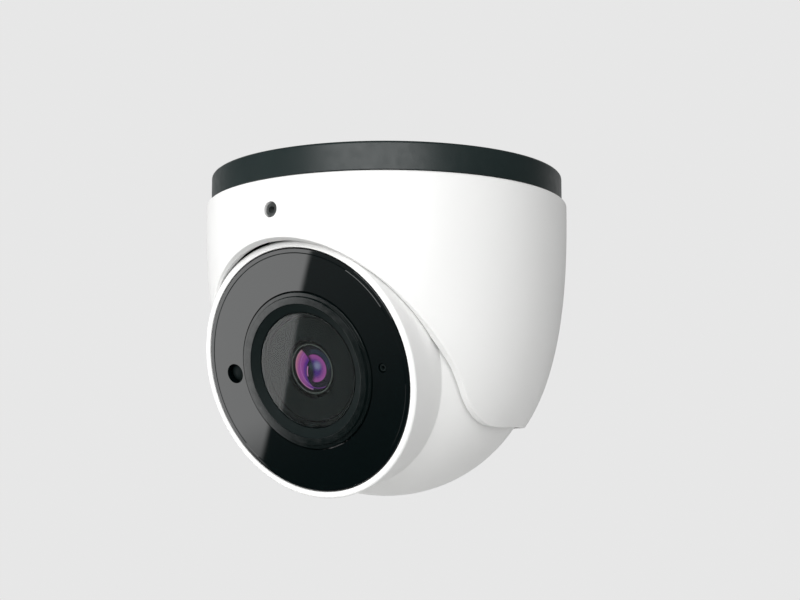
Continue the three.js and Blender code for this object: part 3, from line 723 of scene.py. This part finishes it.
def bezel():
    """A flat polished ring with a fine step outside; its inside slopes down, matte, to the window."""
    face, under = NECK["face"], NECK["face"] - GLASS["thickness"] - GAP
    low = face - WINDOW["drop"] - WINDOW["thickness"] - GAP
    height = BEZEL["height"]
    bm = turned([
        (BEZEL["radius"], face), (BEZEL["radius"] - 0.15, face + height * 0.4),
        (BEZEL["step"] + 0.12, face + height * 0.4), (BEZEL["step"], face + height),
        (BEZEL["inner"], face + height), (BEZEL["inner"] - 0.1, face + height - 0.25),
        (BEZEL["seat"], face - WINDOW["drop"]), (BEZEL["seat"], low), (BEZEL["ledge"], low),
        (BEZEL["ledge"], under - BEZEL["drop"]), (BEZEL["radius"] + BEZEL["flange"], under - BEZEL["drop"]),
        (BEZEL["radius"] + BEZEL["flange"], under), (BEZEL["radius"], under),
    ])
    soften(bm, 0.08, 3, angle=18)
    for part in bm.faces:
        middle = part.calc_center_median()
        part.material_index = int(hypot(middle.x, middle.y) < BEZEL["inner"] - 0.05)
    obj = piece("lens_bezel", bm, FINISHES["gloss_black"], "eyeball", eye_place, 50)
    obj.data.materials.append(INTERIOR)
    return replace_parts(obj, "bezel_ring")


def window():
    top = NECK["face"] - WINDOW["drop"]
    bm = turned([(0, top - WINDOW["thickness"]), (WINDOW["radius"], top - WINDOW["thickness"]),
                 (WINDOW["radius"], top), (0, top)], closed=False)
    soften(bm, 0.15, 2)
    obj = piece("lens_window_pane", bm, FINISHES["clear_glass"], "eyeball", eye_place)
    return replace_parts(obj, "lens_window")


def lens_surround():
    top = NECK["face"] - WINDOW["drop"] - WINDOW["thickness"] - 2 * GAP
    foot, rim = top - BAFFLE["thickness"], BEZEL["ledge"] - GAP
    bm = turned([(BAFFLE["hole"], top), (rim, top), (rim, foot), (BAFFLE["hole"], foot)])
    soften(bm, 0.12, 3)
    obj = piece("lens_surround", bm, INTERIOR, "eyeball", eye_place)
    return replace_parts(obj, "lens_baffle")


def lens_barrel():
    front, mouth = LENS["front"], LENS["front"] - LENS["mouth"]
    bm = turned([
        (LENS["throat"], LENS["rear"]), (LENS["thread"], LENS["rear"]), (LENS["thread"], LENS["shoulder"]),
        (LENS["head"], LENS["shoulder"]), (LENS["head"], front), (LENS["bore"], front),
        (LENS["bore"], mouth), (LENS["throat"], mouth),
    ], steps=128)
    soften(bm, 0.1, 3)
    obj = piece("lens_barrel_tube", bm, FINISHES["lens_black"], "eyeball", eye_place)
    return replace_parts(obj, "lens_barrel")


def front_lens():
    radius, back, edge, crown = (FRONT_LENS[key] for key in ("radius", "back", "edge", "crown"))
    rise = crown - edge
    curve = (radius ** 2 + rise ** 2) / (2 * rise)
    steps = 20
    dome = [(radius * i / steps, crown - curve + sqrt(curve ** 2 - (radius * i / steps) ** 2))
            for i in range(steps + 1)]
    bm = turned(dome + [(radius, back), (0, back)], closed=False, steps=128)
    soften(bm, 0.1, 2)
    obj = piece("front_lens_dome", bm, FINISHES["coated_glass"], "eyeball", eye_place)
    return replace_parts(obj, "lens_front_element")


def daylight_sensor():
    radius, top = SENSOR["radius"], NECK["face"] - SENSOR["drop"]
    dome = arc(radius * 2, 90, 64, 8, (0, top - radius * 2))
    bm = turned(dome + [(radius, dome[-1][1] - 0.3), (radius, SENSOR["foot"]), (0, SENSOR["foot"])],
                closed=False, steps=SMALL)
    bmesh.ops.translate(bm, verts=bm.verts, vec=(-SENSOR["circle"], 0, 0))
    obj = piece("daylight_sensor_window", bm, INTERIOR, "eyeball", eye_place)
    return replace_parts(obj, "daylight_sensor")


def microphone_port():
    top = NECK["face"] - MIC["drop"]
    bm = turned([(MIC["bore"], MIC["foot"]), (MIC["tube"], MIC["foot"]), (MIC["tube"], top),
                 (MIC["bore"], top)], steps=SMALL)
    soften(bm, 0.08, 2)
    bmesh.ops.translate(bm, verts=bm.verts, vec=(MIC["circle"], 0, 0))
    obj = piece("microphone_port", bm, INTERIOR, "eyeball", eye_place)
    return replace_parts(obj, "microphone_tube")


# ---- Lock screw, brake and cable gland ----

def lock_screw():
    radius, point = LOCK["radius"], 0.5
    outer = hood_radius(-LOCK["z"]) - LOCK["recess"]
    tip = outer - LOCK["length"]
    bm = turned([(0, tip), (radius - point, tip), (radius, tip + point), (radius, outer), (0, outer)],
                closed=False, steps=SMALL)
    soften(bm, 0.15, 3, where=lambda spot: spot.z > outer - 0.1)
    socket = drill(LOCK["socket"] / sqrt(3), outer - 2, outer + 1, steps=6)
    place = Matrix.Translation((0, 0, -LOCK["z"] * MM)) @ Matrix.Rotation(pi / 2, 4, "X")
    obj = piece("lock_set_screw", cut(bm, [socket]), dark_steel(), "lock_screw_body", place)
    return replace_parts(obj, "lock_screw")


def brake():
    """The collar under the base plate and the lining between it and the ball."""
    inner, outer, lining = COLLAR["inner"], COLLAR["outer"], COLLAR["lining"]
    middle = ball_centre.z / MM

    def rest(radius, clear):
        return middle + sqrt((BALL["radius"] + clear) ** 2 - radius ** 2)

    steps = [inner + (outer - inner) * i / 4 for i in range(5)]
    collar = turned([(inner, -BASE["plate"] - GAP), (outer, -BASE["plate"] - GAP)]
                    + [(radius, rest(radius, 2 * GAP + lining)) for radius in reversed(steps)])
    soften(collar, 0.25, 2, angle=60)
    obj = piece("brake_collar_body", collar, FINISHES["base_black"], "base")
    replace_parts(obj, "brake_collar")
    pad = turned([(radius, rest(radius, GAP + lining)) for radius in steps]
                 + [(radius, rest(radius, GAP)) for radius in reversed(steps)])
    soften(pad, 0.2, 2, angle=60)
    obj = piece("brake_lining_pad", pad, FINISHES["rubber_black"], "base")
    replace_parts(obj, "brake_lining")


def cable_gland():
    back, end = -BALL["rear"] - GAP, -GLAND["end"]
    top = -BALL["rear"] + BALL["wall"] + GAP + GLAND["inside"]
    bm = turned([
        (GLAND["bore"], end), (GLAND["tip"], end), (GLAND["tip"] + 0.8, end + 1.5),
        (GLAND["neck"], back - 3.4), (GLAND["flange"], back - 2.6), (GLAND["flange"], back),
        (GLAND["neck"], back), (GLAND["neck"], top), (GLAND["bore"], top),
    ], steps=96)
    soften(bm, 0.4, 3, angle=20)
    place = eye_place @ Matrix.Rotation(-ROLL, 4, "Z")
    obj = piece("cable_gland_grommet", bm, FINISHES["rubber_black"], "gland_body", place)
    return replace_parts(obj, "cable_gland")


base_ring()
hood()
front_shell()
rear_shell()
front_glass()
bezel()
window()
lens_surround()
lens_barrel()
front_lens()
daylight_sensor()
microphone_port()
lock_screw()
brake()
cable_gland()

# ---- Finishes of the carried-over nodes ----

node_slots = {entry["node"]: entry["material_slot"] for entry in frame["record"]["subparts"]}
for node, obj in frame["nodes"].items():
    obj.data.materials.clear()
    obj.data.materials.append(FINISHES[node_slots[node]])

# ---- Floor, light and camera, in metres and degrees ----

FLOOR = dict(half_width=4, z=-0.75)
STUDIO = dict(dim=0.2, bright=0.76, azimuth=-12, elevation=4)
MIRRORED = dict(shade=0.05, room=0.28, panel=3.9, backdrop=0.55, backdrop_azimuth=215, backdrop_elevation=5)
CAMERA = dict(lens=76.7, sensor=36, azimuth=36.65, elevation=-12.22, distance=0.5261,
              aim=(0.00325, 0.00242, -0.03703))


def floor():
    bm = bmesh.new()
    bmesh.ops.create_grid(bm, x_segments=1, y_segments=1, size=FLOOR["half_width"])
    bmesh.ops.translate(bm, verts=bm.verts, vec=(0, 0, FLOOR["z"]))
    mesh = bpy.data.meshes.new("floor")
    bm.to_mesh(mesh)
    bm.free()
    finish = Finish("pale_floor", (0.82, 0.82, 0.81), 0.7)
    finish.vary_color(finish.noise(400, 2), (0.81, 0.81, 0.80), (0.83, 0.83, 0.82))
    mesh.materials.append(finish.material)
    obj = bpy.data.objects.new("floor", mesh)
    bpy.context.scene.collection.objects.link(obj)
    obj.visible_glossy = False


def direction(azimuth, elevation):
    """A unit vector; azimuth 0 points to -Y and grows towards +X."""
    across, up = radians(azimuth), radians(elevation)
    return Vector((sin(across) * cos(up), -cos(across) * cos(up), sin(up)))


def soft_light(name, azimuth, elevation, distance, width, height, power):
    data = bpy.data.lights.new(name, "AREA")
    data.shape = "RECTANGLE"
    data.size = width
    data.size_y = height
    data.energy = power
    obj = bpy.data.objects.new(name, data)
    obj.location = ball_centre + direction(azimuth, elevation) * distance
    obj.rotation_euler = (ball_centre - obj.location).to_track_quat("-Z", "Y").to_euler()
    obj.visible_camera = False
    obj.visible_transmission = False
    obj.visible_glossy = name == "front_softbox"
    bpy.context.scene.collection.objects.link(obj)


def surroundings():
    """White behind the object, an even studio for rough surfaces, and a dim room with one bright
    panel for reflections."""
    world = bpy.data.worlds.new("studio")
    bpy.context.scene.world = world
    world.use_nodes = True
    nodes, links = world.node_tree.nodes, world.node_tree.links
    nodes.clear()
    view = nodes.new("ShaderNodeTexCoord").outputs["Generated"]

    def side(normal, soft, shift=0.0):
        """0 to 1 across the plane through the centre with this normal."""
        dot = nodes.new("ShaderNodeVectorMath")
        dot.operation = "DOT_PRODUCT"
        dot.inputs[1].default_value = normal
        links.new(view, dot.inputs[0])
        ramp = nodes.new("ShaderNodeMapRange")
        ramp.interpolation_type = "SMOOTHSTEP"
        ramp.inputs["From Min"].default_value = shift - soft
        ramp.inputs["From Max"].default_value = shift + soft
        links.new(dot.outputs["Value"], ramp.inputs["Value"])
        return ramp.outputs["Result"]

    def times(first, second):
        product = nodes.new("ShaderNodeMath")
        product.operation = "MULTIPLY"
        for socket, value in zip(product.inputs, (first, second)):
            if isinstance(value, float):
                socket.default_value = value
            else:
                links.new(value, socket)
        return product.outputs["Value"]

    def plus(first, second):
        total = nodes.new("ShaderNodeMath")
        total.operation = "ADD"
        links.new(first, total.inputs[0])
        links.new(second, total.inputs[1])
        return total.outputs["Value"]

    edge = direction(-40.7, -17.1).cross(direction(-44.1, -21.6)).normalized()
    if edge.dot(direction(-60, -10)) < 0:
        edge = -edge
    far_side = direction(-75, 0).cross(Vector((0, 0, 1))).normalized()
    if far_side.dot(direction(-50, 0)) < 0:
        far_side = -far_side
    up, down = Vector((0, 0, 1)), Vector((0, 0, -1))
    panel = times(side(edge, 0.0022), side(up, 0.022, -0.388))
    panel = times(panel, side(far_side, 0.02))
    panel = times(panel, side(down, 0.05, 0.12))
    room = times(times(side(up, 0.07, -0.35), side(down, 0.08, 0.06)), MIRRORED["room"])
    behind = direction(MIRRORED["backdrop_azimuth"], MIRRORED["backdrop_elevation"])
    backdrop = times(side(behind, 0.25, 0.6), MIRRORED["backdrop"])
    mirrored = nodes.new("ShaderNodeMath")
    mirrored.operation = "ADD"
    mirrored.inputs[1].default_value = MIRRORED["shade"]
    links.new(plus(plus(room, backdrop), times(panel, MIRRORED["panel"])), mirrored.inputs[0])
    # The even studio is brightest at the front left.
    studio = nodes.new("ShaderNodeMapRange")
    studio.inputs["To Min"].default_value = STUDIO["dim"]
    studio.inputs["To Max"].default_value = STUDIO["bright"]
    links.new(side(direction(STUDIO["azimuth"], STUDIO["elevation"]), 1.0), studio.inputs["Value"])
    path = nodes.new("ShaderNodeLightPath")

    def background(strength):
        shade = nodes.new("ShaderNodeBackground")
        if isinstance(strength, float):
            shade.inputs["Strength"].default_value = strength
        else:
            links.new(strength, shade.inputs["Strength"])
        return shade.outputs["Background"]

    def choose(ray, other, wanted):
        mix = nodes.new("ShaderNodeMixShader")
        links.new(path.outputs[ray], mix.inputs["Fac"])
        links.new(other, mix.inputs[1])
        links.new(wanted, mix.inputs[2])
        return mix.outputs["Shader"]

    even = background(studio.outputs["Result"])
    lit = choose("Is Glossy Ray", even, background(mirrored.outputs["Value"]))
    lit = choose("Is Transmission Ray", lit, even)
    output = nodes.new("ShaderNodeOutputWorld")
    links.new(choose("Is Camera Ray", lit, background(1.0)), output.inputs["Surface"])


def camera():
    data = bpy.data.cameras.new("camera")
    data.lens = CAMERA["lens"]
    data.sensor_width = CAMERA["sensor"]
    obj = bpy.data.objects.new("camera", data)
    obj.location = direction(CAMERA["azimuth"], CAMERA["elevation"]) * CAMERA["distance"]
    obj.rotation_euler = (Vector(CAMERA["aim"]) - obj.location).to_track_quat("-Z", "Y").to_euler()
    bpy.context.scene.collection.objects.link(obj)
    bpy.context.scene.camera = obj


floor()
surroundings()
soft_light("front_softbox", azimuth=27, elevation=14, distance=1.5, width=1.9, height=0.7, power=18)
soft_light("left_softbox", azimuth=-60, elevation=12, distance=1.6, width=0.9, height=1.1, power=10)
soft_light("floor_bounce", azimuth=60, elevation=-65, distance=1.0, width=1.2, height=1.2, power=4.5)
camera()
bpy.context.scene.view_settings.view_transform = "Standard"
